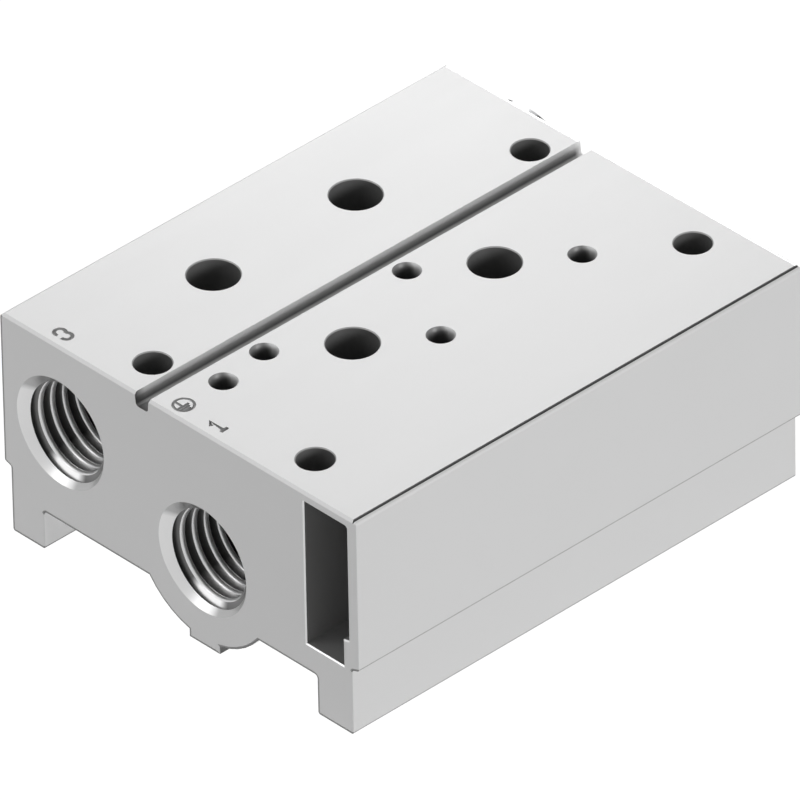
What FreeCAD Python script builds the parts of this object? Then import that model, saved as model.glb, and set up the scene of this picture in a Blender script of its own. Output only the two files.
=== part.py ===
import FreeCAD, Part
import math
import os

# A two-position pneumatic manifold rail for 3/2-way valves: one extruded aluminium block, drilled
# and tapped, with a blanking plug and a sealing ring at the rear end of each of its two air channels.
# Millimetres. X runs across the rail, Y along it, Z up. The origin lies under the axis of the
# supply channel, half-way along the rail, in the plane that the feet stand on.

# Valve positions along the rail
VALVE_PITCH = 27.5
VALVE_COUNT = 2
END_MARGIN = 29.35            # from the outermost valve position to the end face

# Section of the extrusion
HEIGHT = 36.6
SIDE_LEFT = 40.2              # from the supply axis to the left side
SIDE_RIGHT = 31.1             # from the supply axis to the right side
FOOT_HEIGHT = 6.5
FOOT_INSET = 1.3              # the feet stand in from the sides by this much
STEP_HEIGHT = 11.4            # height of that step above the base
STEP_DROP = 0.45              # the step slopes down to the foot by this much
LEFT_FOOT_WIDTH = 6.55
RIGHT_FOOT_WIDTH = 7.05
TOP_EDGE_RADIUS = 0.8         # long edges of the top face
EDGE_RADIUS = 0.4             # other outer edges of the extrusion, and the root of the step
ROOT_RADIUS = 0.6             # inner corners beside the feet
END_EDGE_BREAK = 0.4          # chamfer along the top of both end faces

# Air channels and their ports, G 3/8
THREAD_CORE_D = 14.95
THREAD_MAJOR_D = 16.66
THREAD_DEPTH = 12.0
PORT_COUNTERSINK_D = 17.6
CHANNEL_D = 14.0
SUPPLY_HEIGHT = 14.6          # port 1 above the base
EXHAUST_HEIGHT = 21.85        # port 3 above the base
EXHAUST_OFFSET = 28.45        # port 3 to the left of port 1
BOSS_RADIUS = 13.5            # round belly of the section under port 1
RIB_WIDTH = 6.1               # flat middle foot under the belly

# Label groove in the top face
GROOVE_RIGHT = -10.25         # its right edge
GROOVE_WIDTH = 2.85
GROOVE_DEPTH = 2.15
GROOVE_TAPER = 0.25           # each wall leans in by this much
GROOVE_RADIUS = 0.5

# Hollow duct at the right, open at both ends
DUCT_WIDTH = 8.5
DUCT_SIDE_WALL = 1.9
DUCT_TOP_WALL = 1.6
DUCT_FLOOR = 10.9             # its floor above the base
DUCT_CORNER_RADIUS = 0.4
LIP_WIDTH = 1.1
LIP_HEIGHT = 4.5
LIP_RISE = 0.3                # the lip's top slopes up to the side wall by this much

# Holes in the top face
MOUNT_SPACING_X = 32.5
MOUNT_FROM_END = 6.6          # from the mounting holes to the end faces
MOUNT_HOLE_D = 5.5
AIR_HOLE_D = 7.65
EXHAUST_HOLE_INSET = 2.75     # across the rail, from port 3's axis towards port 1's
EXHAUST_HOLE_SHIFT = -2.15    # along the rail, from the valve position
VALVE_SCREW_X = 7.25          # each side of the supply axis
VALVE_SCREW_Y = 10.0          # each side of the valve position
EARTH_SCREW_X = -6.1
EARTH_SCREW_FROM_END = 10.45
SCREW_CORE_D = 3.3
SCREW_COUNTERSINK_D = 4.25
SCREW_HOLE_DEPTH = 9.0
DRILL_POINT_ANGLE = 118.0

# Blanking plugs and sealing rings at the rear ports
COLLAR_D = 22.0
COLLAR_THICKNESS = 3.4
COLLAR_EDGE = 0.6
SHANK_LENGTH = 9.5
THREAD_CLEARANCE = 0.06       # between the plug's shank and the plain core bore, on the radius
NECK_D = 13.6
NECK_LENGTH = 2.4
HEX_SIDES = 6
HEX_ACROSS_FLATS = 8.0
HEX_DEPTH = 5.5
HEX_MOUTH_EDGE = 0.3
SEAL_THICKNESS = 1.5
SEAL_D = 21.2
SEAL_BORE_CLEARANCE = 0.25    # between the ring's bore and the thread, on the radius

OVERCUT = 1.0                 # how far cutters run past the faces that they open

length = (VALVE_COUNT - 1) * VALVE_PITCH + 2 * END_MARGIN
front_y = -length / 2
rear_y = length / 2
valve_ys = [(i - (VALVE_COUNT - 1) / 2) * VALVE_PITCH for i in range(VALVE_COUNT)]
port_axes = {1: (0.0, SUPPLY_HEIGHT), 3: (-EXHAUST_OFFSET, EXHAUST_HEIGHT)}
DOWN = FreeCAD.Vector(0, 0, -1)
REARWARD = FreeCAD.Vector(0, 1, 0)


def point(x, z):
    """A point of the section, in the plane of the front face."""
    return FreeCAD.Vector(x, front_y, z)


def rounded_wire(corners):
    """A closed wire through (x, z, radius) corners, with a tangent arc at each corner that has a radius."""
    edges = []
    ends = []
    count = len(corners)
    for i in range(count):
        x, z, radius = corners[i]
        here = point(x, z)
        if radius == 0:
            ends.append((here, None, here))
            continue
        before = point(*corners[i - 1][:2]).sub(here).normalize()
        after = point(*corners[(i + 1) % count][:2]).sub(here).normalize()
        half_angle = before.getAngle(after) / 2
        reach = radius / math.tan(half_angle)
        bisector = before.add(after).normalize()
        centre = here.add(bisector.multiply(radius / math.sin(half_angle)))
        middle = centre.add(here.sub(centre).normalize().multiply(radius))
        start = here.add(before.multiply(reach))
        end = here.add(after.multiply(reach))
        ends.append((start, middle, end))
    for i in range(count):
        start, middle, end = ends[i]
        if middle is not None:
            edges.append(Part.Arc(start, middle, end).toShape())
        edges.append(Part.LineSegment(end, ends[(i + 1) % count][0]).toShape())
    return Part.Wire(edges)


def extrude(wire):
    """A solid of the whole rail's length from a wire of the section."""
    return Part.Face(wire).extrude(FreeCAD.Vector(0, length, 0))


def cylinder_along(start, direction, radius, reach):
    return Part.makeCylinder(radius, reach, start, direction)


def cone_along(start, direction, start_radius, end_radius, reach):
    return Part.makeCone(start_radius, end_radius, reach, start, direction)


def outer_corners():
    """The section's outline, anticlockwise seen from the front, from the left foot's outer toe."""
    left_foot_outer = -SIDE_LEFT + FOOT_INSET
    left_foot_inner = left_foot_outer + LEFT_FOOT_WIDTH
    right_foot_outer = SIDE_RIGHT - FOOT_INSET
    right_foot_inner = right_foot_outer - RIGHT_FOOT_WIDTH
    groove_left = GROOVE_RIGHT - GROOVE_WIDTH
    groove_floor = HEIGHT - GROOVE_DEPTH
    step_root = STEP_HEIGHT - STEP_DROP
    return [
        (left_foot_outer, 0, EDGE_RADIUS),
        (left_foot_inner, 0, EDGE_RADIUS),
        (left_foot_inner, FOOT_HEIGHT, ROOT_RADIUS),
        (right_foot_inner, FOOT_HEIGHT, ROOT_RADIUS),
        (right_foot_inner, 0, EDGE_RADIUS),
        (right_foot_outer, 0, EDGE_RADIUS),
        (right_foot_outer, step_root, EDGE_RADIUS),
        (SIDE_RIGHT, STEP_HEIGHT, EDGE_RADIUS),
        (SIDE_RIGHT, HEIGHT, TOP_EDGE_RADIUS),
        (GROOVE_RIGHT, HEIGHT, 0),
        (GROOVE_RIGHT - GROOVE_TAPER, groove_floor, GROOVE_RADIUS),
        (groove_left + GROOVE_TAPER, groove_floor, GROOVE_RADIUS),
        (groove_left, HEIGHT, 0),
        (-SIDE_LEFT, HEIGHT, TOP_EDGE_RADIUS),
        (-SIDE_LEFT, STEP_HEIGHT, EDGE_RADIUS),
        (left_foot_outer, step_root, EDGE_RADIUS),
    ]


def duct_corners():
    """The hollow duct beside the right side, with the lip that stands up from its floor."""
    duct_right = SIDE_RIGHT - DUCT_SIDE_WALL
    duct_left = duct_right - DUCT_WIDTH
    lip_left = duct_right - LIP_WIDTH
    lip_top = DUCT_FLOOR + LIP_HEIGHT
    return [
        (duct_left, DUCT_FLOOR, 0),
        (lip_left, DUCT_FLOOR, 0),
        (lip_left, lip_top, 0),
        (duct_right, lip_top + LIP_RISE, 0),
        (duct_right, HEIGHT - DUCT_TOP_WALL, DUCT_CORNER_RADIUS),
        (duct_left, HEIGHT - DUCT_TOP_WALL, 0),
    ]


def belly():
    """The round belly under port 1 and the flat rib that it stands on."""
    start = point(0, SUPPLY_HEIGHT)
    boss = cylinder_along(start, REARWARD, BOSS_RADIUS, length)
    rib = Part.makeBox(RIB_WIDTH, length, SUPPLY_HEIGHT, point(-RIB_WIDTH / 2, 0))
    return boss.fuse(rib)


def end_edge_cutter(end_y, inward):
    """A prism that chamfers the top edge of an end face. inward is +1 at the front, -1 at the rear."""
    left = -SIDE_LEFT - OVERCUT
    width = SIDE_LEFT + SIDE_RIGHT + 2 * OVERCUT
    low = end_y - inward * OVERCUT
    corners = [
        FreeCAD.Vector(left, low, HEIGHT - END_EDGE_BREAK - OVERCUT),
        FreeCAD.Vector(left, end_y + inward * (END_EDGE_BREAK + OVERCUT), HEIGHT + OVERCUT),
        FreeCAD.Vector(left, low, HEIGHT + OVERCUT),
    ]
    face = Part.Face(Part.makePolygon(corners + corners[:1]))
    return face.extrude(FreeCAD.Vector(width, 0, 0))


def tapped_port(axis_x, axis_z, end_y, inward):
    """Core bore and 45 degree countersink of a port at one end of a channel."""
    core_r = THREAD_CORE_D / 2
    mouth_r = PORT_COUNTERSINK_D / 2
    direction = FreeCAD.Vector(0, inward, 0)
    outside = FreeCAD.Vector(axis_x, end_y - inward * OVERCUT, axis_z)
    bore = cylinder_along(outside, direction, core_r, THREAD_DEPTH + OVERCUT)
    cone_depth = mouth_r - core_r + OVERCUT
    cone = cone_along(outside, direction, mouth_r + OVERCUT, core_r, cone_depth)
    return bore.fuse(cone)


def air_channel(axis_x, axis_z):
    """A channel through the whole rail with a tapped port at both ends."""
    start = FreeCAD.Vector(axis_x, front_y - OVERCUT, axis_z)
    cutter = cylinder_along(start, REARWARD, CHANNEL_D / 2, length + 2 * OVERCUT)
    cutter = cutter.fuse(tapped_port(axis_x, axis_z, front_y, 1))
    return cutter.fuse(tapped_port(axis_x, axis_z, rear_y, -1))


def air_hole(x, y, axis_z):
    """A round passage from the top face down into the channel at the height axis_z."""
    start = FreeCAD.Vector(x, y, HEIGHT + OVERCUT)
    return cylinder_along(start, DOWN, AIR_HOLE_D / 2, HEIGHT + OVERCUT - axis_z)


def screw_hole(x, y):
    """A blind M4 hole in the top face, countersunk, with the cone that the drill leaves."""
    core_r = SCREW_CORE_D / 2
    mouth_r = SCREW_COUNTERSINK_D / 2
    above = FreeCAD.Vector(x, y, HEIGHT + OVERCUT)
    bottom = FreeCAD.Vector(x, y, HEIGHT - SCREW_HOLE_DEPTH)
    point_depth = core_r / math.tan(math.radians(DRILL_POINT_ANGLE / 2))
    hole = cylinder_along(above, DOWN, core_r, SCREW_HOLE_DEPTH + OVERCUT)
    tip = cone_along(bottom, DOWN, core_r, 0, point_depth)
    mouth = cone_along(above, DOWN, mouth_r + OVERCUT, core_r, mouth_r - core_r + OVERCUT)
    return hole.fuse([tip, mouth])


def top_hole_cutters():
    cutters = []
    exhaust_hole_x = EXHAUST_HOLE_INSET - EXHAUST_OFFSET
    for y in valve_ys:
        cutters.append(air_hole(0, y, SUPPLY_HEIGHT))
        cutters.append(air_hole(exhaust_hole_x, y + EXHAUST_HOLE_SHIFT, EXHAUST_HEIGHT))
        for side in (-1, 1):
            cutters.append(screw_hole(side * VALVE_SCREW_X, y + side * VALVE_SCREW_Y))
    cutters.append(screw_hole(EARTH_SCREW_X, front_y + EARTH_SCREW_FROM_END))
    for x in (-MOUNT_SPACING_X / 2, MOUNT_SPACING_X / 2):
        for y in (front_y + MOUNT_FROM_END, rear_y - MOUNT_FROM_END):
            top = FreeCAD.Vector(x, y, HEIGHT + OVERCUT)
            cutters.append(cylinder_along(top, DOWN, MOUNT_HOLE_D / 2, HEIGHT + 2 * OVERCUT))
    return cutters


def manifold_block():
    block = extrude(rounded_wire(outer_corners()))
    block = block.fuse(belly()).removeSplitter()
    cutters = [extrude(rounded_wire(duct_corners()))]
    cutters.append(end_edge_cutter(front_y, 1))
    cutters.append(end_edge_cutter(rear_y, -1))
    for axis_x, axis_z in port_axes.values():
        cutters.append(air_channel(axis_x, axis_z))
    cutters += top_hole_cutters()
    return block.cut(cutters)


def revolve_about_port(axis_x, axis_z, outline):
    """A body of revolution about a port's axis from (radius, distance behind the rear face) points."""
    points = [FreeCAD.Vector(axis_x + r, rear_y + d, axis_z) for r, d in outline]
    face = Part.Face(Part.makePolygon(points + points[:1]))
    return face.revolve(FreeCAD.Vector(axis_x, 0, axis_z), REARWARD, 360)


def blanking_plug(axis_x, axis_z):
    """A screw plug with a collar and a hexagon socket, seated on its sealing ring."""
    collar_r = COLLAR_D / 2
    shank_r = THREAD_CORE_D / 2 - THREAD_CLEARANCE
    neck_r = NECK_D / 2
    seat = SEAL_THICKNESS
    top = SEAL_THICKNESS + COLLAR_THICKNESS
    neck_end = seat - NECK_LENGTH
    shank_end = seat - SHANK_LENGTH
    lead = shank_r - neck_r
    plug = revolve_about_port(axis_x, axis_z, [
        (0, shank_end), (neck_r, shank_end), (shank_r, shank_end + lead), (shank_r, neck_end - lead),
        (neck_r, neck_end), (neck_r, seat), (collar_r, seat), (collar_r, top - COLLAR_EDGE),
        (collar_r - COLLAR_EDGE, top), (0, top)])
    corner_r = HEX_ACROSS_FLATS / 2 / math.cos(math.pi / HEX_SIDES)
    mouth = FreeCAD.Vector(axis_x, rear_y + top, axis_z)
    corners = []
    for i in range(HEX_SIDES + 1):
        angle = math.tau * (i + 0.5) / HEX_SIDES
        corners.append(mouth.add(FreeCAD.Vector(corner_r * math.cos(angle), 0, corner_r * math.sin(angle))))
    socket = Part.Face(Part.makePolygon(corners)).extrude(FreeCAD.Vector(0, -HEX_DEPTH, 0))
    inner_r = corner_r - HEX_MOUTH_EDGE
    bevel = cone_along(mouth, REARWARD.negative(), corner_r, inner_r, HEX_MOUTH_EDGE)
    return plug.cut([socket, bevel])


def sealing_ring(axis_x, axis_z):
    """A flat ring between the rear face and a plug's collar."""
    bore_r = THREAD_MAJOR_D / 2 + SEAL_BORE_CLEARANCE
    outer_r = SEAL_D / 2
    return revolve_about_port(axis_x, axis_z, [
        (bore_r, 0), (outer_r, 0), (outer_r, SEAL_THICKNESS), (bore_r, SEAL_THICKNESS)])


def write(shape, node):
    shape.exportStep("parts/" + node + ".step")
    bounds = shape.BoundBox
    print(node, "valid", shape.isValid(), "solids", len(shape.Solids), "volume", round(shape.Volume, 1),
          "x", round(bounds.XMin, 2), round(bounds.XMax, 2), "y", round(bounds.YMin, 2), round(bounds.YMax, 2),
          "z", round(bounds.ZMin, 2), round(bounds.ZMax, 2))


os.makedirs("parts", exist_ok=True)
write(manifold_block(), "manifold_block")
for port, axis in port_axes.items():
    write(blanking_plug(*axis), "port_%d_plug" % port)
    write(sealing_ring(*axis), "port_%d_seal" % port)
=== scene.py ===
import bmesh
import bpy
import math
from mathutils import Matrix, Vector

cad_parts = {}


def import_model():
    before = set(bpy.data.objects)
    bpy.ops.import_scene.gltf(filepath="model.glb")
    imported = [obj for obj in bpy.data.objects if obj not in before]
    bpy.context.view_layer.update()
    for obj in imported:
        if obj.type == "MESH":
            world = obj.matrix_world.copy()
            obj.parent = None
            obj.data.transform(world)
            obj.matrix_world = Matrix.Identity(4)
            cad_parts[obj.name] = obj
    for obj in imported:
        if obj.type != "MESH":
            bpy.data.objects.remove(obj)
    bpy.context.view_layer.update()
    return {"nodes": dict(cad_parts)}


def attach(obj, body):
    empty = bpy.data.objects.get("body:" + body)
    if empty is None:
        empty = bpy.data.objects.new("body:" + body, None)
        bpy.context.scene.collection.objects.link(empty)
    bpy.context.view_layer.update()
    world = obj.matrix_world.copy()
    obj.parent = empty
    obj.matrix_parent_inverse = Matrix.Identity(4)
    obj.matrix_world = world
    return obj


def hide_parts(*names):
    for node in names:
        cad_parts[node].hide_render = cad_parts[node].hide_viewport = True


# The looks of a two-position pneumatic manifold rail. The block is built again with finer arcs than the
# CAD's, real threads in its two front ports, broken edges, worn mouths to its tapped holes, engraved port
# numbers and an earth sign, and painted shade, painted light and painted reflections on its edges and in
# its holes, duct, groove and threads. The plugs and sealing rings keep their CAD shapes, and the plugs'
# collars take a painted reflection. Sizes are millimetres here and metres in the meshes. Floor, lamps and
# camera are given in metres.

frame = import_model()
MM = 0.001

# Section of the extrusion, as in the CAD unless a comment says otherwise
HEIGHT = 36.6
SIDE_LEFT = 40.2
SIDE_RIGHT = 31.1
HALF_LENGTH = 43.1
FOOT_HEIGHT = 6.5
FOOT_INSET = 1.3
STEP_HEIGHT = 11.4
STEP_DROP = 0.45
LEFT_FOOT_WIDTH = 6.55
RIGHT_FOOT_WIDTH = 7.05
TOP_EDGE_RADIUS = 0.8
EDGE_RADIUS = 0.4
ROOT_RADIUS = 0.6
BOSS_RADIUS = 13.65           # 0.15 more than the CAD's, as the photo's outline shows
RIB_WIDTH = 6.1
GROOVE_RIGHT = -10.1          # 0.15 further right than the CAD's, as the photo shows
GROOVE_WIDTH = 2.85
GROOVE_DEPTH = 2.15
GROOVE_TAPER = 0.25
GROOVE_RADIUS = 0.5
DUCT_WIDTH = 8.5
DUCT_SIDE_WALL = 1.9
DUCT_TOP_WALL = 1.6
DUCT_FLOOR = 10.9
DUCT_CORNER_RADIUS = 0.4
LIP_WIDTH = 1.1
LIP_HEIGHT = 4.5
LIP_RISE = 0.3

# Ports, holes and screws, as in the CAD
PORT_AXES = ((0.0, 14.6), (-28.45, 21.85))
REAR_CORE_R = 7.475
PORT_MOUTH_R = 8.8
THREAD_DEPTH = 12.0
CHANNEL_R = 7.0
MOUNT_X = 16.25
MOUNT_Y = 36.5
MOUNT_R = 2.75
VALVE_YS = (-13.75, 13.75)
AIR_R = 3.825
EXHAUST_X = -25.7
EXHAUST_SHIFT = -2.15
SCREW_X = 7.25
SCREW_Y = 10.0
EARTH_SCREW = (-6.1, -32.65)
SCREW_R = 1.65
SCREW_MOUTH_R = 2.125
SCREW_DEPTH = 9.0
DRILL_POINT = 59.0            # half of the drill's point angle

# Thread of the front ports: a coarse Whitworth form on the G 3/8 outer diameter, as the photo draws it
CREST_R = 6.95
THREAD_ROOT_R = 8.3
PITCH = 2.3
GROOVE_AT_CREST = 1.6         # width of the thread groove at the crest's radius
FLANK = 27.5                  # half of the thread angle
THREAD_SHOULDER = 0.5         # radius that rounds each crest
SHOULDER_STEPS = (0.15, 0.45, 0.75, 1.0)    # shares of the crest's rounding where its points lie
CREST_OVERLAP = 0.15          # how far the thread's cutter starts inside the crests
ROOT_EASE = ((0.05, 0.1), (-0.02, 0.0))     # of the root's two points, past the flank's end and inwards
THREAD_PHASE = 3.0            # depth of a groove's middle at angle 0, seen from the front

# Finish that the machining leaves
HOLE_EDGE = 0.15              # fine chamfer round each plain hole
DUCT_EDGE = 0.18              # fine chamfer round the duct's front mouth
MOUTH_OVERLAP = 0.2           # how far a port's chamfer is cut past its crests
FUNNEL_DEPTH = 1.5            # of the worn curve from a tapped hole's mouth into its bore
FUNNEL_STEPS = 6
FRONT_EDGE_BREAK = (0.4, 0.4)    # reach and drop of the top edge's chamfer at the front, as in the CAD
REAR_EDGE_BREAK = (0.5, 0.1)     # and at the rear, flatter than the CAD's, as the photo's rim looks
END_BREAK = ((0.37, 0.0), (0.18, 0.02), (0.0, 0.07))    # inset and depth of the broken end edges' rings
EDGE_LINE_X = 30.48           # fine line along the top's right edge
EDGE_LINE_WIDTH = 0.5
EDGE_LINE_DEPTH = 0.45
EDGE_LINE_RISE = 0.1          # how far its cutter stands above the top

# Engravings: middles on the top face, radii of the ball-nosed cutters, and (right, up) points of the lines
THREE_PLACE = (-30.1, -40.5)
ONE_PLACE = (0.95, -40.5)
EARTH_PLACE = (-5.93, -40.38)
DIGIT_STROKE_R = 0.3
SIGN_STROKE_R = 0.22
BOWL_R = 0.82                 # of the two arcs of the 3
BOWL_RISE = 0.66
UPPER_BOWL = (205, -60)       # start and end in degrees
LOWER_BOWL = (60, -190)
ONE_LINES = (((-0.7, 0.5), (0.0, 1.5), (-0.15, -1.4)), ((-0.75, -1.45), (0.7, -1.35)))
EARTH_RING_R = 1.5
EARTH_LINES = (((-0.4, 1.4), (-0.4, -0.2)), ((-1.4, -0.2), (0.8, -0.2)), ((-1.15, -0.65), (0.55, -0.65)),
               ((-0.9, -1.1), (0.3, -1.1)))

# How the rail's faces are told apart, as shares of their normals
END_FACE = 0.999              # along the rail
SIDE_FACE = 0.9               # across it
LEANING = 0.02                # least share of a broken end edge that leans
BENT = 0.05                   # least share of a rounded edge's facet

# Mesh building
OVERCUT = 1.0                 # how far cutters stand out of what they cut
ARC_STEP = 9.0                # degrees of a section arc in one facet
PORT_SEGMENTS = 96
MOUTH_SEGMENTS = 128
HOLE_SEGMENTS = 72
SCREW_SEGMENTS = 48
STROKE_ROUNDING = 3           # the engraving strokes' bevel resolution
WELD = 1e-7                   # metres between points that become one
SMOOTH_ANGLE = 28.0           # steeper edges stay sharp
FLAT_WEIGHT = 100             # how far large faces lead the normals

# Grains: scale of the noise, and its stretch for each axis, drawn out where it is small
DRAWN = (2200.0, (1.0, 0.02, 1.0))
DRAWN_COARSE = (1200.0, (1.0, 0.02, 1.0))
MILLED = (1500.0, (1.0, 1.0, 1.0))
PLATED = (900.0, (1.0, 1.0, 1.0))
BROAD = (60.0, (1.0, 1.0, 1.0))
SPECKLE = (2600.0, (1.0, 1.0, 1.0))
FINE_DETAIL = 4.0
BROAD_DETAIL = 2.0
SPECKLE_DETAIL = 3.0
NOISE_ROUGHNESS = 0.6

# Metals: tone and its spread, roughness and its spread, metallic share, strength of the relief, grain
METALS = {
    "satin_aluminium": (0.80, 0.01, 0.42, 0.03, 0.3, 0.25, DRAWN),
    "machined_aluminium": (0.92, 0.02, 0.30, 0.04, 0.5, 0.1, MILLED),
    # painted shade on the rail's lower and left edges and on the rib under the block
    "edge_shade_aluminium": (0.48, 0.03, 0.50, 0.03, 0.0, 0.2, DRAWN),
    "deep_edge_shade_aluminium": (0.30, 0.03, 0.50, 0.03, 0.0, 0.2, DRAWN),
    # painted light: the left foot's inner side lighter than the satin
    "foot_inner_aluminium": (0.94, 0.01, 0.42, 0.03, 0.3, 0.25, DRAWN),
    # painted shade in the fine line along the top's right edge
    "line_shade_aluminium": (0.12, 0.04, 0.50, 0.05, 0.3, 0.2, DRAWN),
    # painted reflection: darker on the port's chamfer above and on the right, through its fades
    "mouth_ring_aluminium": (0.92, 0.02, 0.30, 0.04, 0.5, 0.1, MILLED),
    "mouth_aluminium": (0.45, 0.03, 0.40, 0.04, 0.3, 0.1, MILLED),
    # painted shade: the engraved strokes darker than the top
    "engraved_aluminium": (0.42, 0.04, 0.50, 0.05, 0.2, 0.1, MILLED),
    # painted shade inside the holes, the ports' channels and the rear ports, darker further down
    "bore_aluminium": (0.25, 0.06, 0.45, 0.05, 0.3, 0.2, MILLED),
    # painted light on the tapped holes' right walls, painted shade on the rest and further down
    "screw_bore_aluminium": (0.80, 0.04, 0.45, 0.04, 0.3, 0.1, MILLED),
    # painted shade inside the duct
    "duct_shade_aluminium": (0.40, 0.05, 0.50, 0.05, 0.3, 0.2, DRAWN_COARSE),
    # painted shade down the groove's walls, on its floor and towards its front end, painted light at its
    # rear end
    "groove_aluminium": (0.80, 0.03, 0.45, 0.04, 0.3, 0.2, DRAWN),
    # painted shade towards the threads' roots and a painted highlight on their lower flanks
    "thread_aluminium": (0.20, 0.03, 0.30, 0.03, 0.0, 0.1, MILLED),
    # painted reflection: the plugs' collars darker where they lean sideways
    "plated_steel": (0.50, 0.02, 0.22, 0.04, 1.0, 0.1, PLATED),
}
METAL_RELIEF = 0.02           # depth of a metal's relief at full strength
STEEL_BLUE = 1.02             # the plated steel's blue, against its grey
SLOPE_FLOOR = 0.05            # added to a normal's rise, so that no slope is endless
RUBBER_COLOUR = (0.025, 0.025, 0.027)
RUBBER_ROUGHNESS = (0.5, 0.75)
RUBBER_RELIEF = 0.03
RUBBER_BUMP = 0.3

# Directions that a surface can face
UPWARDS = (0.0, 0.0, 1.0)
RIGHTWARDS = (1.0, 0.0, 0.0)
RIGHT_WALL = (-0.695, -0.719, 0.0)    # as a hole's wall on the right of the photo
REAR_WALL = (0.727, -0.687, 0.0)      # as a hole's wall that the photo sees straight on
LOWER_FLANK = (0.0, -0.887, 0.462)    # as a thread's outward flank at the bottom of a port

# How far the painted shade and painted light of the holes and the groove reach, from the top face or from
# an end of the rail
BORE_FADE = 3.0
SCREW_FADE = 2.1
GROOVE_WALL_LIGHT = 0.75      # the groove's walls are plain down to here
GROOVE_WALL_DARK = 1.75       # and dark from here down
GROOVE_REAR_LIGHT = (0.4, 1.2)
GROOVE_FRONT_DARK = (0.2, 1.9)

# Tones of the threads: a painted shade at their roots and a painted highlight on their lower flanks
THREAD_ROOT_TONE = 0.09
FLANK_TONE = 0.9
FLANK_BRIGHT = 0.99           # how squarely a face looks the lower flank's way to be bright metal
FLANK_PLAIN = 0.97            # and to have none of it
THREAD_IOR = 1.8

# Floor, light and camera, in metres, watts and degrees
FLOOR_RADIUS = 3.0
FLOOR_SEGMENTS = 64
FLOOR_TONE = 0.8
FLOOR_WHITE = 0.85            # share of plain white in the floor that the camera sees
FLOOR_GLOW = 1.2
SKY_STRENGTH = 0.127
LAMPS = (                     # name, place, diameter and power
    ("key", (-0.42, 0.39, 0.33), 0.25, 0.604),
    ("front", (-0.9, -1.19, 1.01), 1.1, 4.366),
    ("side", (1.6, 0.1, 0.4), 0.5, 9.317),
)
LAMP_AIM = (0.0, 0.0, 0.02)
CAMERA_PLACE = (1.61875, -1.53579, 1.60321)
CAMERA_TURN = 46.598
CAMERA_TILT = 54.645
CAMERA_ROLL = -1.061
CAMERA_LENS = 883.02
CAMERA_SENSOR = 36.0
CAMERA_CLIP = (0.1, 20.0)


# Material nodes

def new_material(name):
    material = bpy.data.materials.new(name)
    material.use_nodes = True
    tree = material.node_tree
    return material, tree, tree.nodes["Principled BSDF"]


def add_node(tree, kind, **inputs):
    node = tree.nodes.new(kind)
    for key, value in inputs.items():
        node.inputs[key.replace("_", " ")].default_value = value
    return node


def object_place(tree):
    return tree.nodes.new("ShaderNodeTexCoord").outputs["Object"]


def surface_normal(tree):
    return tree.nodes.new("ShaderNodeNewGeometry").outputs["Normal"]


def split_vector(tree, vector):
    split = tree.nodes.new("ShaderNodeSeparateXYZ")
    tree.links.new(vector, split.inputs["Vector"])
    return split.outputs


def grain_noise(tree, grain, detail):
    """Noise in object space, drawn out as the grain says."""
    scale, stretch = grain
    mapping = add_node(tree, "ShaderNodeMapping", Scale=stretch)
    noise = add_node(tree, "ShaderNodeTexNoise", Scale=scale, Detail=detail, Roughness=NOISE_ROUGHNESS)
    tree.links.new(object_place(tree), mapping.inputs["Vector"])
    tree.links.new(mapping.outputs["Vector"], noise.inputs["Vector"])
    return noise.outputs["Fac"]


def ramp(tree, value, low, high):
    """A value from 0 to 1 remapped to the range from low to high."""
    node = add_node(tree, "ShaderNodeMapRange", To_Min=low, To_Max=high)
    tree.links.new(value, node.inputs["Value"])
    return node.outputs["Result"]


def between(tree, value, far, near):
    """0 at the far value or beyond it, and 1 at the near value or beyond that."""
    node = add_node(tree, "ShaderNodeMapRange", From_Min=far, From_Max=near)
    tree.links.new(value, node.inputs["Value"])
    return node.outputs["Result"]


def calculate(tree, operation, first, second=None):
    """A Math node on an output and, where given, on a second output or number."""
    node = tree.nodes.new("ShaderNodeMath")
    node.operation = operation
    tree.links.new(first, node.inputs[0])
    if isinstance(second, float):
        node.inputs[1].default_value = second
    elif second is not None:
        tree.links.new(second, node.inputs[1])
    return node.outputs["Value"]


# Fades. Each runs from 0 at its far end to 1 at its near end.

def fade_along(tree, axis, far, near):
    """By the place along an axis of the part, in millimetres."""
    return between(tree, split_vector(tree, object_place(tree))[axis], far * MM, near * MM)


def fade_outwards(tree, axis, far, near):
    """By the distance from a port's (x, z) axis, in millimetres."""
    flat = tree.nodes.new("ShaderNodeVectorMath")
    flat.operation = "MULTIPLY"
    flat.inputs[1].default_value = (1, 0, 1)
    reach = tree.nodes.new("ShaderNodeVectorMath")
    reach.operation = "DISTANCE"
    reach.inputs[1].default_value = (axis[0] * MM, 0, axis[1] * MM)
    tree.links.new(object_place(tree), flat.inputs[0])
    tree.links.new(flat.outputs["Vector"], reach.inputs[0])
    return between(tree, reach.outputs["Value"], far * MM, near * MM)


def fade_sideways(tree, far, near):
    """By how far the normal leans to the left or right, as a slope."""
    normal = split_vector(tree, surface_normal(tree))
    aside = calculate(tree, "ABSOLUTE", normal["X"])
    above = calculate(tree, "ABSOLUTE", normal["Z"])
    slope = calculate(tree, "DIVIDE", aside, calculate(tree, "ADD", above, SLOPE_FLOOR))
    return between(tree, slope, far, near)


def fade_facing(tree, direction, far, near):
    """By the normal's share along a direction."""
    share = tree.nodes.new("ShaderNodeVectorMath")
    share.operation = "DOT_PRODUCT"
    share.inputs[1].default_value = direction
    tree.links.new(surface_normal(tree), share.inputs[0])
    return between(tree, share.outputs["Value"], far, near)
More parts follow.
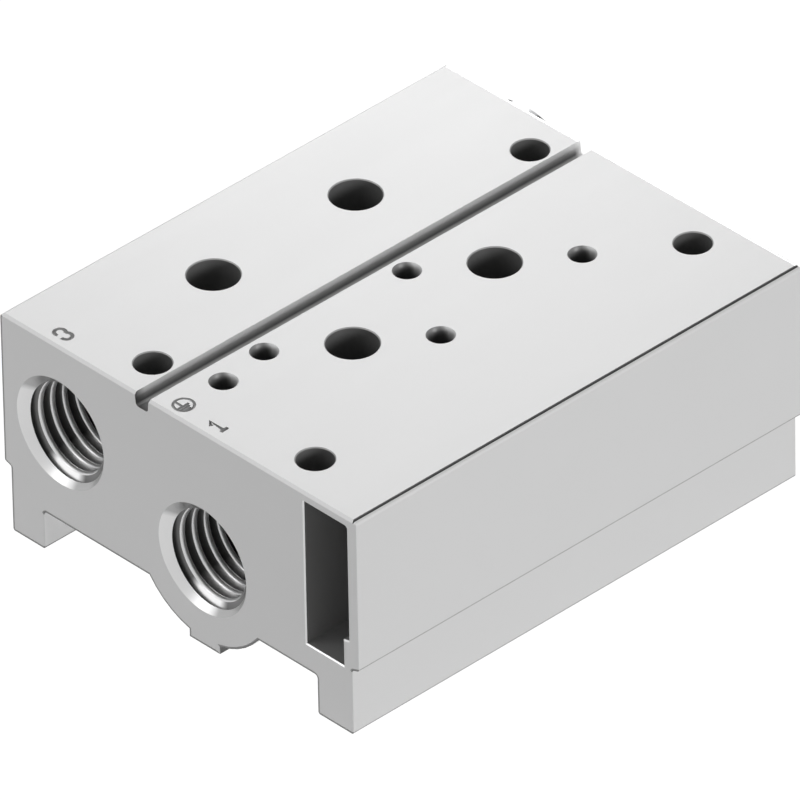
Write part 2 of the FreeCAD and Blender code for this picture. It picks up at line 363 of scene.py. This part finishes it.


# Painted reflections, painted shade and painted highlights, where the plain studio gives none: for each
# metal, in their order, the tone at a fade's far end, the fade, and what it runs along, from its far end to
# its near one.
FADES = {
    "mouth_ring_aluminium": (
        # painted reflection: the chamfer darker above the port and on its right
        (0.5, fade_facing, UPWARDS, -0.40, -0.30),         # the chamfer above the port
        (0.6, fade_facing, RIGHTWARDS, -0.22, -0.14),      # and on its right
    ),
    "bore_aluminium": (
        # painted shade, darker further down
        (0.2, fade_along, "Z", HEIGHT - BORE_FADE, HEIGHT),
    ),
    "screw_bore_aluminium": (
        # painted light on the wall on the right, painted shade on the others and further down
        (0.3, fade_facing, RIGHT_WALL, -0.05, 0.3),        # all but the wall on the right
        (0.12, fade_facing, REAR_WALL, 0.97, 0.75),        # the wedge between the two lit walls
        (0.1, fade_along, "Z", HEIGHT - SCREW_FADE, HEIGHT),
    ),
    "groove_aluminium": (
        # painted shade down the walls, on the floor and towards the front end, and painted light at the
        # rear end
        (0.22, fade_along, "Z", HEIGHT - GROOVE_WALL_DARK, HEIGHT - GROOVE_WALL_LIGHT),
        (0.5, fade_facing, UPWARDS, 0.95, 0.4),            # the floor
        (1.0, fade_along, "Y", *[HALF_LENGTH - reach for reach in GROOVE_REAR_LIGHT]),
        (0.15, fade_along, "Y", *[reach - HALF_LENGTH for reach in GROOVE_FRONT_DARK]),
    ),
    "plated_steel": (
        # painted reflection: darker where the collar leans sideways
        (0.05, fade_sideways, 0.26, 0.20),                 # the collar's ends
    ),
}


# Materials

def fading(material, far_tone, fade, *reach):
    """Blends a metal into the tone at the far end of a fade."""
    tree = material.node_tree
    socket = tree.nodes["Principled BSDF"].inputs["Base Color"]
    plain = socket.links[0].from_socket
    mix = tree.nodes.new("ShaderNodeMix")
    mix.data_type = "RGBA"
    mix.inputs["A"].default_value = (far_tone, far_tone, far_tone, 1)
    tree.links.new(fade(tree, *reach), mix.inputs["Factor"])
    tree.links.new(plain, mix.inputs["B"])
    tree.links.new(mix.outputs["Result"], socket)


def metal(name, blue=1.0):
    """A metal whose gloss and fine relief follow its grain, with its own fades of painted shade and light.
    """
    tone, tone_spread, roughness, roughness_spread, metallic, bump, grain = METALS[name]
    material, tree, shader = new_material(name)
    colour = (tone, tone, tone * blue)
    fine = grain_noise(tree, grain, FINE_DETAIL)
    broad = grain_noise(tree, BROAD, BROAD_DETAIL)
    mix = tree.nodes.new("ShaderNodeMix")
    mix.data_type = "RGBA"
    mix.inputs["A"].default_value = (*[c * (1 - tone_spread) for c in colour], 1)
    mix.inputs["B"].default_value = (*[min(1.0, c * (1 + tone_spread)) for c in colour], 1)
    tree.links.new(broad, mix.inputs["Factor"])
    tree.links.new(mix.outputs["Result"], shader.inputs["Base Color"])
    gloss = ramp(tree, fine, roughness - roughness_spread, roughness + roughness_spread)
    tree.links.new(gloss, shader.inputs["Roughness"])
    relief = add_node(tree, "ShaderNodeBump", Strength=bump, Distance=METAL_RELIEF * MM)
    tree.links.new(fine, relief.inputs["Height"])
    tree.links.new(relief.outputs["Normal"], shader.inputs["Normal"])
    shader.inputs["Metallic"].default_value = metallic
    for fade in FADES.get(name, ()):
        fading(material, *fade)
    return material


def thread_metal(axis):
    """A port's thread: a painted shade darker towards its roots, and a painted highlight, bright and
    metallic, where its lower flanks face outwards.
    """
    material = metal("thread_aluminium")
    fading(material, THREAD_ROOT_TONE, fade_outwards, axis, THREAD_ROOT_R, CREST_R + THREAD_SHOULDER / 2)
    fading(material, FLANK_TONE, fade_facing, LOWER_FLANK, FLANK_BRIGHT, FLANK_PLAIN)
    tree = material.node_tree
    shader = tree.nodes["Principled BSDF"]
    bright = fade_facing(tree, LOWER_FLANK, FLANK_PLAIN, FLANK_BRIGHT)
    tree.links.new(bright, shader.inputs["Metallic"])
    shader.inputs["IOR"].default_value = THREAD_IOR
    return material


def rubber(name):
    material, tree, shader = new_material(name)
    speckle = grain_noise(tree, SPECKLE, SPECKLE_DETAIL)
    shader.inputs["Base Color"].default_value = (*RUBBER_COLOUR, 1)
    tree.links.new(ramp(tree, speckle, *RUBBER_ROUGHNESS), shader.inputs["Roughness"])
    relief = add_node(tree, "ShaderNodeBump", Strength=RUBBER_BUMP, Distance=RUBBER_RELIEF * MM)
    tree.links.new(speckle, relief.inputs["Height"])
    tree.links.new(relief.outputs["Normal"], shader.inputs["Normal"])
    return material


satin = metal("satin_aluminium")
machined = metal("machined_aluminium")
edge_shade = metal("edge_shade_aluminium")
deep_edge_shade = metal("deep_edge_shade_aluminium")
foot_inner = metal("foot_inner_aluminium")
line_shade = metal("line_shade_aluminium")
mouth_ring = metal("mouth_ring_aluminium")
mouth = metal("mouth_aluminium")
engraved = metal("engraved_aluminium")
shaded = metal("bore_aluminium")
screw_bore = metal("screw_bore_aluminium")
duct_shade = metal("duct_shade_aluminium")
groove_metal = metal("groove_aluminium")
threaded = [thread_metal(axis) for axis in PORT_AXES]
steel = metal("plated_steel", STEEL_BLUE)
seal_rubber = rubber("seal_rubber")


# Outlines and solids

def object_from(bm, name, materials):
    bmesh.ops.recalc_face_normals(bm, faces=bm.faces)
    mesh = bpy.data.meshes.new(name)
    bm.to_mesh(mesh)
    bm.free()
    for material in materials:
        mesh.materials.append(material)
    result = bpy.data.objects.new(name, mesh)
    bpy.context.scene.collection.objects.link(result)
    return result


def arc(centre, radius, start, end):
    """Points of an arc between two angles in degrees, its ends included."""
    steps = max(1, math.ceil(abs(end - start) / ARC_STEP))
    angles = [math.radians(start + (end - start) * i / steps) for i in range(steps + 1)]
    return [(centre[0] + radius * math.cos(a), centre[1] + radius * math.sin(a)) for a in angles]


def rounded(corners):
    """(x, z) points of a closed outline from (x, z, radius) corners."""
    points = []
    for i, (x, z, radius) in enumerate(corners):
        here = Vector((x, z))
        if radius == 0:
            points.append((x, z))
            continue
        before = (Vector(corners[i - 1][:2]) - here).normalized()
        after = (Vector(corners[(i + 1) % len(corners)][:2]) - here).normalized()
        half = before.angle(after) / 2
        centre = here + (before + after).normalized() * (radius / math.sin(half))
        first = here + before * (radius / math.tan(half)) - centre
        last = here + after * (radius / math.tan(half)) - centre
        start = math.degrees(math.atan2(first.y, first.x))
        turn = (math.degrees(math.atan2(last.y, last.x)) - start + 180) % 360 - 180
        points += arc(centre, radius, start, start + turn)
    return points


def inset(outline, amount):
    """The closed outline of (x, z) points, moved inwards by less than its tightest outer radius."""
    points = [Vector(p) for p in outline]
    count = len(points)
    area = sum(points[i - 1].cross(points[i]) for i in range(count))
    side = math.copysign(1, area)
    moved = []
    for i, point in enumerate(points):
        before = (point - points[i - 1]).normalized()
        after = (points[(i + 1) % count] - point).normalized()
        inward = [Vector((-along.y, along.x)) * side for along in (before, after)]
        moved.append(point + (inward[0] + inward[1]) * (amount / (1 + inward[0].dot(inward[1]))))
    return [tuple(p) for p in moved]


def at_length(outline, y):
    """(x, y, z) points of an outline's (x, z) points at one place along the rail."""
    return [(x, y, z) for x, z in outline]


def loft(name, rings, materials):
    """A solid through closed rings of (x, y, z) points, all with as many points."""
    bm = bmesh.new()
    loops = [[bm.verts.new((x * MM, y * MM, z * MM)) for x, y, z in ring] for ring in rings]
    bm.faces.new(loops[0])
    bm.faces.new(loops[-1])
    for low, high in zip(loops, loops[1:]):
        for i in range(len(low)):
            j = (i + 1) % len(low)
            bm.faces.new((low[i], low[j], high[j], high[i]))
    return object_from(bm, name, materials)


def lengthwise_cutter(name, outline, material):
    """A cutter with the outline's section that stands out of both ends of the rail."""
    reach = HALF_LENGTH + OVERCUT
    return loft(name, [at_length(outline, y) for y in (-reach, reach)], [material])


def turned(name, place, axis, profile, finishes, segments):
    """A solid of revolution. The profile holds (radius, distance along the axis) points, the first and
    last at radius 0, and finishes holds one material for each stretch between them."""
    bm = bmesh.new()
    turn = Vector((0, 0, 1)).rotation_difference(Vector(axis))
    origin = Vector(place)
    rings = []
    for radius, reach in profile:
        if radius == 0:
            rings.append([bm.verts.new((origin + turn @ Vector((0, 0, reach))) * MM)])
            continue
        ring = []
        for i in range(segments):
            a = math.tau * i / segments
            spoke = Vector((radius * math.cos(a), radius * math.sin(a), reach))
            ring.append(bm.verts.new((origin + turn @ spoke) * MM))
        rings.append(ring)
    materials = list(dict.fromkeys(finishes))
    for low, high, finish in zip(rings, rings[1:], finishes):
        for i in range(segments):
            j = (i + 1) % segments
            corners = [low[i % len(low)], low[j % len(low)], high[j % len(high)], high[i % len(high)]]
            face = bm.faces.new(list(dict.fromkeys(corners)))
            face.material_index = materials.index(finish)
    return object_from(bm, name, materials)


def evaluated_mesh(holder):
    """The mesh that an object's curve or modifiers give."""
    bpy.context.view_layer.update()
    return bpy.data.meshes.new_from_object(holder.evaluated_get(bpy.context.evaluated_depsgraph_get()))


def cut(target, cutters):
    """Takes the cutters out of the target, one after another, and removes them."""
    for cutter in cutters:
        change = target.modifiers.new("cut", "BOOLEAN")
        change.operation = "DIFFERENCE"
        change.object = cutter
        change.solver = "MANIFOLD"
        change.material_mode = "TRANSFER"
        mesh = evaluated_mesh(target)
        target.modifiers.clear()
        target.data = mesh
        bpy.data.objects.remove(cutter)


# The rail

def section():
    left_foot_outer = -SIDE_LEFT + FOOT_INSET
    left_foot_inner = left_foot_outer + LEFT_FOOT_WIDTH
    right_foot_outer = SIDE_RIGHT - FOOT_INSET
    right_foot_inner = right_foot_outer - RIGHT_FOOT_WIDTH
    step_root = STEP_HEIGHT - STEP_DROP
    boss = PORT_AXES[0]
    foot_angle = math.degrees(math.asin((boss[1] - FOOT_HEIGHT) / BOSS_RADIUS))
    rib_angle = math.degrees(math.acos(RIB_WIDTH / 2 / BOSS_RADIUS))
    left_belly = [(x, z, 0) for x, z in arc(boss, BOSS_RADIUS, 180 + foot_angle, 180 + rib_angle)]
    right_belly = [(x, z, 0) for x, z in arc(boss, BOSS_RADIUS, 360 - rib_angle, 360 - foot_angle)]
    return rounded([
        (left_foot_outer, 0, EDGE_RADIUS),
        (left_foot_inner, 0, EDGE_RADIUS),
        (left_foot_inner, FOOT_HEIGHT, ROOT_RADIUS),
        *left_belly,
        (-RIB_WIDTH / 2, 0, 0),
        (RIB_WIDTH / 2, 0, 0),
        *right_belly,
        (right_foot_inner, FOOT_HEIGHT, ROOT_RADIUS),
        (right_foot_inner, 0, EDGE_RADIUS),
        (right_foot_outer, 0, EDGE_RADIUS),
        (right_foot_outer, step_root, EDGE_RADIUS),
        (SIDE_RIGHT, STEP_HEIGHT, EDGE_RADIUS),
        (SIDE_RIGHT, HEIGHT, TOP_EDGE_RADIUS),
        (-SIDE_LEFT, HEIGHT, TOP_EDGE_RADIUS),
        (-SIDE_LEFT, STEP_HEIGHT, EDGE_RADIUS),
        (left_foot_outer, step_root, EDGE_RADIUS),
    ])


def rail_finish(normal, place):
    """The material of one of the rail's faces, by its normal and its middle."""
    at_end = HALF_LENGTH - abs(place.y)
    # the broken end edges, in a painted shade where they face down or to the left
    if at_end < END_BREAK[2][1] and abs(normal.y) < END_FACE:
        if normal.z < -LEANING:
            return edge_shade if at_end < END_BREAK[1][1] else deep_edge_shade
        return edge_shade if normal.x < -LEANING else satin
    # the rounded long edges that face down, in a painted shade at the step and the feet
    if normal.z < -BENT and abs(normal.x) > BENT:
        at_edge = abs(place.z - STEP_HEIGHT) < EDGE_RADIUS or place.z < EDGE_RADIUS
        return edge_shade if at_edge else satin
    # the sides that face right under the block: the left foot's, in a painted light, and the rib's, in a
    # painted shade
    if normal.x > SIDE_FACE and place.z < FOOT_HEIGHT:
        if place.x < -BOSS_RADIUS:
            return foot_inner
        if place.x < BOSS_RADIUS:
            return deep_edge_shade
    return satin


def rail_body():
    """The extrusion, its end edges broken, with painted shade on its lower and left edges and on the rib
    under the block, and painted light inside the left foot.
    """
    outline = section()
    front = [at_length(inset(outline, amount), depth - HALF_LENGTH) for amount, depth in END_BREAK]
    rear = [at_length(inset(outline, amount), HALF_LENGTH - depth) for amount, depth in END_BREAK[::-1]]
    finishes = [satin, edge_shade, deep_edge_shade, foot_inner]
    body = loft("block", front + rear, finishes)
    for face in body.data.polygons:
        face.material_index = finishes.index(rail_finish(face.normal, face.center / MM))
    return body


def end_edge_cutter(end, edge_break, material):
    """Chamfers the top edge of an end face. end is -1 at the front and 1 at the rear."""
    reach, drop = edge_break
    outside = end * (HALF_LENGTH + OVERCUT)
    triangle = [
        (outside, HEIGHT - drop - OVERCUT * drop / reach),
        (end * (HALF_LENGTH - reach - OVERCUT * reach / drop), HEIGHT + OVERCUT),
        (outside, HEIGHT + OVERCUT),
    ]
    sides = (-SIDE_LEFT - OVERCUT, SIDE_RIGHT + OVERCUT)
    return loft("end_edge", [[(x, y, z) for y, z in triangle] for x in sides], [material])


# Groove, duct and edge line

def groove_cutter():
    floor_z = HEIGHT - GROOVE_DEPTH
    flare = GROOVE_TAPER * (OVERCUT + GROOVE_DEPTH) / GROOVE_DEPTH
    left = GROOVE_RIGHT - GROOVE_WIDTH + GROOVE_TAPER
    right = GROOVE_RIGHT - GROOVE_TAPER
    outline = rounded([
        (left, floor_z, GROOVE_RADIUS),
        (right, floor_z, GROOVE_RADIUS),
        (right + flare, HEIGHT + OVERCUT, 0),
        (left - flare, HEIGHT + OVERCUT, 0),
    ])
    return lengthwise_cutter("groove", outline, groove_metal)


def duct_outline(grown):
    """The duct's section, with its sides set outwards by the grown amount."""
    right = SIDE_RIGHT - DUCT_SIDE_WALL + grown
    left = SIDE_RIGHT - DUCT_SIDE_WALL - DUCT_WIDTH - grown
    low = DUCT_FLOOR - grown
    top = HEIGHT - DUCT_TOP_WALL + grown
    lip_left = SIDE_RIGHT - DUCT_SIDE_WALL - LIP_WIDTH + grown
    lip_top = DUCT_FLOOR + LIP_HEIGHT - grown
    return rounded([
        (left, low, 0),
        (lip_left, low, 0),
        (lip_left, lip_top, 0),
        (right, lip_top + LIP_RISE, 0),
        (right, top, DUCT_CORNER_RADIUS + grown),
        (left, top, 0),
    ])


def duct_mouth_cutter():
    """The fine chamfer round the duct's front end."""
    deep = at_length(duct_outline(0), DUCT_EDGE - HALF_LENGTH)
    wide = at_length(duct_outline(2 * DUCT_EDGE), -DUCT_EDGE - HALF_LENGTH)
    return loft("duct_mouth", [deep, wide], [machined])


def edge_line_cutter():
    """The fine V-shaped line that runs along the right edge of the top face, its faces in a painted shade.
    """
    half = EDGE_LINE_WIDTH / 2 * (1 + EDGE_LINE_RISE / EDGE_LINE_DEPTH)
    outline = [
        (EDGE_LINE_X - half, HEIGHT + EDGE_LINE_RISE),
        (EDGE_LINE_X, HEIGHT - EDGE_LINE_DEPTH),
        (EDGE_LINE_X + half, HEIGHT + EDGE_LINE_RISE),
    ]
    return lengthwise_cutter("edge_line", outline, line_shade)


# Ports with their threads

def thread_half():
    """(along, radius) points of one side of the thread groove, from inside its crest to its root."""
    turn = 90 - FLANK
    run = THREAD_SHOULDER * math.tan(math.radians(turn / 2))
    crest = GROOVE_AT_CREST / 2
    points = []
    for share in SHOULDER_STEPS:
        a = math.radians(share * turn)
        points.append((crest + run - THREAD_SHOULDER * math.sin(a),
                       CREST_R + THREAD_SHOULDER * (1 - math.cos(a))))
    first, second = points[:2]
    lead = (first[1] - CREST_R + CREST_OVERLAP) / (second[1] - first[1])
    points.insert(0, (first[0] + (first[0] - second[0]) * lead, CREST_R - CREST_OVERLAP))
    flank_end = crest - (THREAD_ROOT_R - CREST_R) * math.tan(math.radians(FLANK))
    return points + [(flank_end + past, THREAD_ROOT_R - inside) for past, inside in ROOT_EASE]


def thread_cutter(axis_x, axis_z, material):
    """The helical groove of a front port, as the solid screw that would fill it."""
    half = thread_half()
    profile = [(-s, r) for s, r in half] + half[::-1]
    shoulders = len(SHOULDER_STEPS)      # stretches that round the crest, on either side
    turns = math.ceil(THREAD_DEPTH / PITCH) + 1
    steps = turns * PORT_SEGMENTS
    bm = bmesh.new()
    rows = []
    for i in range(steps + PORT_SEGMENTS + 1):
        a = -math.tau * i / PORT_SEGMENTS
        depth = THREAD_PHASE - 2 * PITCH + PITCH * i / PORT_SEGMENTS
        row = []
        for s, r in profile:
            place = (axis_x + r * math.cos(a), -HALF_LENGTH + depth + s, axis_z + r * math.sin(a))
            row.append(bm.verts.new(Vector(place) * MM))
        rows.append(row)
    last = len(profile) - 1
    for i in range(steps):
        for j in range(last):
            face = bm.faces.new((rows[i][j], rows[i + 1][j], rows[i + 1][j + 1], rows[i][j + 1]))
            face.material_index = int(j < shoulders or j >= last - shoulders)
        after = i + PORT_SEGMENTS
        bm.faces.new((rows[i][last], rows[i + 1][last], rows[after + 1][0], rows[after][0]))
    start_loop = [rows[i][0] for i in range(PORT_SEGMENTS + 1)] + rows[0][:0:-1]
    end_loop = [rows[steps + i][0] for i in range(PORT_SEGMENTS + 1)] + rows[steps][:0:-1]
    for loop, depth in ((start_loop, rows[0][0].co.y), (end_loop, rows[steps][0].co.y)):
        hub = bm.verts.new((axis_x * MM, depth, axis_z * MM))
        for k in range(len(loop)):
            bm.faces.new((hub, loop[k], loop[(k + 1) % len(loop)]))
    loose = [v for v in bm.verts if not v.link_faces]
    bmesh.ops.delete(bm, geom=loose, context="VERTS")
    return object_from(bm, "thread", [material, machined])


def port_cutters():
    cutters = []
    back = (0, 1, 0)
    forth = (0, -1, 0)
    for (x, z), material in zip(PORT_AXES, threaded):
        front = (x, -HALF_LENGTH, z)
        start = THREAD_DEPTH - OVERCUT
        end = 2 * HALF_LENGTH + OVERCUT
        cutters.append(turned("channel", front, back, [
            (0, start), (CHANNEL_R, start), (CHANNEL_R, end), (0, end)], [shaded] * 3, PORT_SEGMENTS))
        cutters.append(turned("crests", front, back, [
            (0, -OVERCUT), (CREST_R, -OVERCUT), (CREST_R, THREAD_DEPTH), (0, THREAD_DEPTH)],
            [machined] * 3, PORT_SEGMENTS))
        cutters.append(thread_cutter(x, z, material))
        depth = PORT_MOUTH_R - CREST_R + MOUTH_OVERLAP
        cutters.append(turned("countersink", front, back, [
            (0, -OVERCUT), (PORT_MOUTH_R + OVERCUT, -OVERCUT), (CREST_R - MOUTH_OVERLAP, depth),
            (0, depth)], [mouth_ring] * 3, MOUTH_SEGMENTS))
        rear = (x, HALF_LENGTH, z)
        depth = PORT_MOUTH_R - REAR_CORE_R
        cutters.append(turned("rear_port", rear, forth, [
            (0, -OVERCUT), (PORT_MOUTH_R + OVERCUT, -OVERCUT), (REAR_CORE_R, depth),
            (REAR_CORE_R, THREAD_DEPTH), (0, THREAD_DEPTH)],
            [machined, machined, shaded, shaded], PORT_SEGMENTS))
    return cutters


# Holes in the top

def hole_cutter(name, x, y, profile, finishes, segments):
    return turned(name, (x, y, HEIGHT), (0, 0, -1), profile, finishes, segments)


def plain_hole(x, y, radius, depth):
    """A hole from the top face down, with a fine chamfer at its mouth."""
    profile = [(0, -OVERCUT), (radius + HOLE_EDGE + OVERCUT, -OVERCUT), (radius, HOLE_EDGE),
               (radius, depth), (0, depth)]
    return hole_cutter("hole", x, y, profile, [mouth, mouth, shaded, shaded], HOLE_SEGMENTS)


def screw_hole(x, y):
    """A tapped hole whose worn mouth runs in a curve from the countersink's slope into the bore."""
    tip = SCREW_R / math.tan(math.radians(DRILL_POINT))
    wide = SCREW_MOUTH_R - SCREW_R
    funnel = []
    for i in range(FUNNEL_STEPS + 1):
        t = i / FUNNEL_STEPS
        funnel.append((SCREW_R + wide * (1 - t) ** 2, 2 * t * (1 - t) * wide + t * t * FUNNEL_DEPTH))
    profile = [(0, -OVERCUT), (SCREW_MOUTH_R + OVERCUT, -OVERCUT), *funnel,
               (SCREW_R, SCREW_DEPTH), (0, SCREW_DEPTH + tip)]
    return hole_cutter("screw_hole", x, y, profile, [screw_bore] * (len(profile) - 1), SCREW_SEGMENTS)


def top_hole_cutters():
    cutters = [screw_hole(*EARTH_SCREW)]
    for y in VALVE_YS:
        cutters.append(plain_hole(0, y, AIR_R, HEIGHT - PORT_AXES[0][1]))
        cutters.append(plain_hole(EXHAUST_X, y + EXHAUST_SHIFT, AIR_R, HEIGHT - PORT_AXES[1][1]))
        cutters += [screw_hole(side * SCREW_X, y + side * SCREW_Y) for side in (-1, 1)]
    for x in (-MOUNT_X, MOUNT_X):
        cutters += [plain_hole(x, side * MOUNT_Y, MOUNT_R, HEIGHT + OVERCUT) for side in (-1, 1)]
    return cutters


# Engravings

def stroke(points, radius, closed):
    """An engraved stroke through (x, y) points on the top face, cut by a ball-nosed tool."""
    curve = bpy.data.curves.new("stroke", "CURVE")
    curve.dimensions = "3D"
    curve.bevel_depth = radius * MM
    curve.bevel_resolution = STROKE_ROUNDING
    curve.use_fill_caps = True
    spline = curve.splines.new("POLY")
    spline.points.add(len(points) - 1)
    for target, (x, y) in zip(spline.points, points):
        target.co = (x * MM, y * MM, HEIGHT * MM, 1)
    spline.use_cyclic_u = closed
    holder = bpy.data.objects.new("stroke", curve)
    bpy.context.scene.collection.objects.link(holder)
    mesh = evaluated_mesh(holder)
    bpy.data.objects.remove(holder)
    bm = bmesh.new()
    bm.from_mesh(mesh)
    bmesh.ops.remove_doubles(bm, verts=bm.verts, dist=WELD)
    return object_from(bm, "stroke", [engraved])


def glyph(place, radius, lines, closed=False):
    """Strokes of a sign from lines of (right, up) points. Its right is +Y and its up is -X."""
    return [stroke([(place[0] - up, place[1] + right) for right, up in line], radius, closed)
            for line in lines]


def engraving_cutters():
    three = [arc((0, BOWL_RISE), BOWL_R, *UPPER_BOWL), arc((0, -BOWL_RISE), BOWL_R, *LOWER_BOWL)]
    ring = arc((0, 0), EARTH_RING_R, 0, 360 - ARC_STEP)
    return (glyph(THREE_PLACE, DIGIT_STROKE_R, three)
            + glyph(ONE_PLACE, DIGIT_STROKE_R, ONE_LINES)
            + glyph(EARTH_PLACE, SIGN_STROKE_R, [ring], closed=True)
            + glyph(EARTH_PLACE, SIGN_STROKE_R, EARTH_LINES))


# The block

def build_block():
    body = rail_body()
    duct_cutter = lengthwise_cutter("duct", duct_outline(0), duct_shade)
    cut(body, [groove_cutter(), duct_cutter, duct_mouth_cutter()])
    cut(body, [end_edge_cutter(-1, FRONT_EDGE_BREAK, satin), end_edge_cutter(1, REAR_EDGE_BREAK, machined)])
    cut(body, port_cutters())
    cut(body, top_hole_cutters())
    cut(body, [edge_line_cutter()])
    cut(body, engraving_cutters())
    body.data.shade_smooth()
    body.data.set_sharp_from_angle(angle=math.radians(SMOOTH_ANGLE))
    weigh = body.modifiers.new("weigh", "WEIGHTED_NORMAL")
    weigh.mode = "FACE_AREA"
    weigh.weight = FLAT_WEIGHT
    weigh.keep_sharp = True
    return body


block = build_block()
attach(block, "root")
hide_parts("manifold_block")

for name, node in frame["nodes"].items():
    if name != "manifold_block":
        node.data.materials.clear()
        node.data.materials.append(steel if name.endswith("plug") else seal_rubber)


# Floor, light and camera

def white_rays(tree, share):
    """The share for rays from the camera or off glossy or clear surfaces, and 0 for other bounces."""
    path = tree.nodes.new("ShaderNodeLightPath")
    seen = path.outputs["Is Camera Ray"]
    for other in ("Is Glossy Ray", "Is Transmission Ray"):
        seen = calculate(tree, "MAXIMUM", seen, path.outputs[other])
    return calculate(tree, "MULTIPLY", seen, share)


def floor():
    material, tree, shader = new_material("floor_white")
    tree.nodes.remove(shader)
    plain = add_node(tree, "ShaderNodeBsdfDiffuse", Color=(FLOOR_TONE, FLOOR_TONE, FLOOR_TONE, 1))
    glow = add_node(tree, "ShaderNodeEmission", Strength=FLOOR_GLOW)
    mix = tree.nodes.new("ShaderNodeMixShader")
    tree.links.new(white_rays(tree, FLOOR_WHITE), mix.inputs["Fac"])
    tree.links.new(plain.outputs["BSDF"], mix.inputs[1])
    tree.links.new(glow.outputs["Emission"], mix.inputs[2])
    tree.links.new(mix.outputs["Shader"], tree.nodes["Material Output"].inputs["Surface"])
    bm = bmesh.new()
    bmesh.ops.create_circle(bm, cap_ends=True, segments=FLOOR_SEGMENTS, radius=FLOOR_RADIUS)
    object_from(bm, "floor", [material])


def world():
    sky = bpy.data.worlds.new("sky")
    sky.use_nodes = True
    bpy.context.scene.world = sky
    tree = sky.node_tree
    background = tree.nodes["Background"]
    background.inputs["Color"].default_value = (1, 1, 1, 1)
    strength = ramp(tree, white_rays(tree, 1.0), SKY_STRENGTH, 1.0)
    tree.links.new(strength, background.inputs["Strength"])


def lamp(name, place, diameter, power):
    data = bpy.data.lights.new(name, "AREA")
    data.shape = "DISK"
    data.size = diameter
    data.energy = power
    holder = bpy.data.objects.new(name, data)
    holder.location = place
    holder.rotation_euler = (Vector(LAMP_AIM) - Vector(place)).to_track_quat("-Z", "Y").to_euler()
    bpy.context.scene.collection.objects.link(holder)


def camera():
    data = bpy.data.cameras.new("camera")
    data.lens = CAMERA_LENS
    data.sensor_width = CAMERA_SENSOR
    data.clip_start, data.clip_end = CAMERA_CLIP
    holder = bpy.data.objects.new("camera", data)
    holder.matrix_world = (Matrix.Translation(CAMERA_PLACE)
                           @ Matrix.Rotation(math.radians(CAMERA_TURN), 4, "Z")
                           @ Matrix.Rotation(math.radians(CAMERA_TILT), 4, "X")
                           @ Matrix.Rotation(math.radians(CAMERA_ROLL), 4, "Z"))
    bpy.context.scene.collection.objects.link(holder)
    bpy.context.scene.camera = holder


floor()
world()
for row in LAMPS:
    lamp(*row)
camera()
bpy.context.scene.view_settings.view_transform = "Standard"

bpy.context.view_layer.update()
